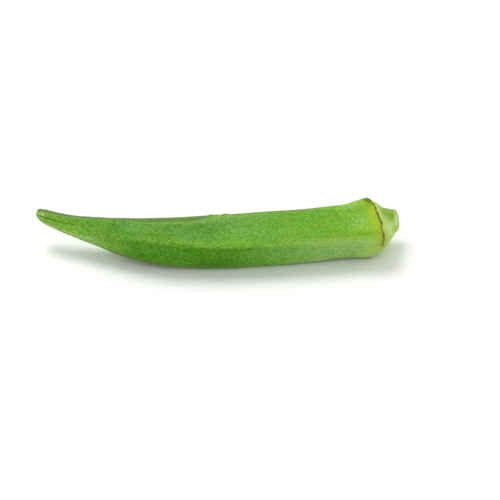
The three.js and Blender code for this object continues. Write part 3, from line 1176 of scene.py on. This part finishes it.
cap_streaks = net.cloud(unbent_at, (7, 0.5, 0.5), 2.0)
cap_top = net.ease(turn_at, 8, 52) * (1 - net.ease(turn_at, 120, 160))
up_stem = net.ease(ring_at + (ring_noise - 0.5) * 2, 1.4, 3.8)
cap = net.covers(CAP_PALE, [
    (CAP_GREEN, net.ease(cap_streaks, 0.42, 0.75) * 0.5),
    (CAP_GREEN, (1 - net.ease(turn_at, -12, 16)) * 0.9),
    (CAP_OLIVE, net.ease(ring_at, 0.7, 1.8) * cap_top),
    (STEM_GREEN, up_stem * turned_to(50, 25) * 0.95),
    (LIP, net.bell(ring_at, 0.60, 0.42)),
    # painted shade: a thin darker line in the hollow just beyond the lip
    (CAP_GREEN, net.bell(ring_at, 1.05, 0.25) * 0.6),
    (EDGE_GREY, turned_to(104, 15) * 0.85),
])

ochre = net.bell(ring_at, 0.0, 1.5) * turned_to(-16, 22) * (0.25 + 0.7 * ring_noise)
low_ring = net.bell(ring_at, -0.1, 1.2) * turned_to(-14, 18) * (0.1 + ring_noise)
olive = net.bell(ring_at, 0.05, 0.42) * (0.30 + 0.5 * ring_noise)
groove = net.ease(ring_at, -0.16, 0.0) * (1 - net.ease(ring_at, 0.28, 0.42))
groove = groove * (0.6 + 0.4 * net.ease(ring_noise, 0.35, 0.6))
groove = groove * (1 - 0.92 * faded) * (1 - 0.5 * turned_to(12, 9))
colour = net.covers(colour, [
    (LOW_BAND, grey_rib * 0.3 * off_cap),
    (FRESH_DEEP, rib_line * 0.9 * off_cap),
    (cap, 1 - off_cap),
    (RIM_OCHRE, ochre),
    (RING_OLIVE, low_ring * 0.8),
    (RING_OLIVE, olive * (1 - 0.8 * faded)),
    (RING_BROWN, groove),
])

net.report()

# %% Colour the cut
PITH = paint(200, 226, 126)
CUT_GREEN = paint(146, 188, 66)
CUT_FLESH = paint(182, 216, 98)

cut_part = net.ease(cut_at, -0.04, 0.04)
cut_radius_at = 1 - cut_at / CUT_RADIUS
wood_ring = net.bell(cut_radius_at + (ring_noise - 0.5) * 0.08, 0.70, 0.10)
inside = net.covers(CUT_FLESH, [
    (CUT_GREEN, wood_ring),
    (PITH, 1 - net.ease(cut_radius_at, 0.45, 0.58)),
    (CUT_GREEN, net.ease(cut_radius_at, 0.9, 1.0) * 0.25),
])
colour = net.cover(colour, inside, cut_part)

net.report()

# %% [markdown]
# ## Sheen, gloss and grain
#
# The down gives the skin a soft sheen towards its edges. The skin itself is waxy and
# fairly matt, a little glossier where it is rubbed. Its finest grain, too small for
# the mesh, is a bump.

# %% Finish the skin
GRAIN_HEIGHT = 0.09 * MM
GRAIN_STRENGTH = 0.55
ROUGHNESS = 0.50

skin_lines = net.cloud(unbent_at, (3.0, 0.22, 0.22), 2.0)
pimples = net.ease(speck_cell, 0.42, 0.08)
grain = fine_cloud * 0.9 + skin_lines * 0.5 + pimples * 0.5
grain_bump = {"Strength": GRAIN_STRENGTH, "Distance": GRAIN_HEIGHT, "Height": grain}
bumped = net.node("ShaderNodeBump", {}, grain_bump)
rough = ROUGHNESS + 0.16 * (blotches - 0.5) + 0.14 * (fine_cloud - 0.5) - 0.08 * on_rib
rough = rough + 0.25 * net.bell(ring_at, 0.1, 0.5) - 0.12 * cut_part
net.wear(pod, "ShaderNodeBsdfPrincipled", {
    "Base Color": colour,
    "Roughness": rough,
    "Normal": bumped,
    "Specular IOR Level": 0.14,
    "Specular Tint": (0.6, 1.0, 0.3, 1.0),
    "Sheen Weight": 0.03,
    "Sheen Roughness": 0.45,
    "Sheen Tint": (0.86, 1.0, 0.72, 1.0),
    "Subsurface Weight": 0.12,
    "Subsurface Radius": (0.9, 1.2, 0.4),
    "Subsurface Scale": 0.8 * MM,
})

net.report()

# %% [markdown]
# ## The down's finish
#
# A hair is greenish at its root and paler towards its tip, and some hairs are whiter than
# others. A shader made for hair would follow the light along each strand, but an export
# drops it. A plain matt shader keeps its colours, and they carry the look at this size.

# %% Finish the down
HAIR_ROOT = paint(112, 164, 52)
HAIR_TIP = paint(160, 196, 84)
HAIR_WHITE = paint(210, 226, 150)

down_net = Finish("okra_down")
hair_along = down_net.kept("from_root")
hair_pale = down_net.kept("paleness")
hair_colour = down_net.cover(HAIR_TIP, HAIR_WHITE, hair_pale)
hair_colour = down_net.cover(HAIR_ROOT, hair_colour, down_net.ease(hair_along, 0.0, 0.7))
down_net.wear(down, "ShaderNodeBsdfPrincipled", {
    "Base Color": hair_colour,
    "Roughness": 0.55,
    "Specular IOR Level": 0.12,
})

down_net.report()

# %% [markdown]
# ## Floor and light
#
# The pod lies on a white table under one large soft lamp. A small lamp would throw a
# hard shadow, and several would throw one each. This one stands high, back and to the
# left, so the face below the near rib is darker and a faint shadow falls to the right.
# A dim even sky fills in the rest. The colours are shown as they are, with no film look.

# %% Lay the floor and light the pod
FLOOR_SIZE = 4000 * MM
SKY = 0.80
LAMP_POWER = 38.0
LAMP_SIZE = 1500 * MM
LAMP_AT = np.array([-900, 900, 2300]) * MM

half = FLOOR_SIZE / 2
floor_points = np.array([[-half, -half, 0], [half, -half, 0], [half, half, 0], [-half, half, 0]])
floor = new_piece("floor", floor_points, [[0, 1, 2, 3]])
floor_net = Finish("white_table")
floor_at = floor_net.node("ShaderNodeTexCoord", {}, {}, "Object")
floor_cloud = floor_net.cloud(floor_at, (0.4, 0.4, 0.4), 2.0)
floor_net.wear(floor, "ShaderNodeBsdfPrincipled", {
    "Base Color": floor_net.cover(paint(246, 246, 246), paint(248, 248, 248), floor_cloud),
    "Roughness": 0.9,
    "Specular IOR Level": 0.0,
})

sky = bpy.data.worlds.new("sky")
sky.use_nodes = True
sky.node_tree.nodes["Background"].inputs["Color"].default_value = (1.0, 1.0, 1.0, 1.0)
sky.node_tree.nodes["Background"].inputs["Strength"].default_value = SKY
bpy.context.scene.world = sky

lamp_data = bpy.data.lights.new("soft_lamp", "AREA")
lamp_data.shape = "DISK"
lamp_data.size = LAMP_SIZE
lamp_data.energy = LAMP_POWER
lamp = bpy.data.objects.new("soft_lamp", lamp_data)
lamp.location = LAMP_AT
aim = unit(-LAMP_AT)
lamp.rotation_euler = (np.arccos(-aim[2]), 0.0, np.pi - np.arctan2(aim[0], -aim[1]))
bpy.context.scene.collection.objects.link(lamp)
bpy.context.scene.view_settings.view_transform = "Standard"

print("lamp at, mm:", LAMP_AT / MM)
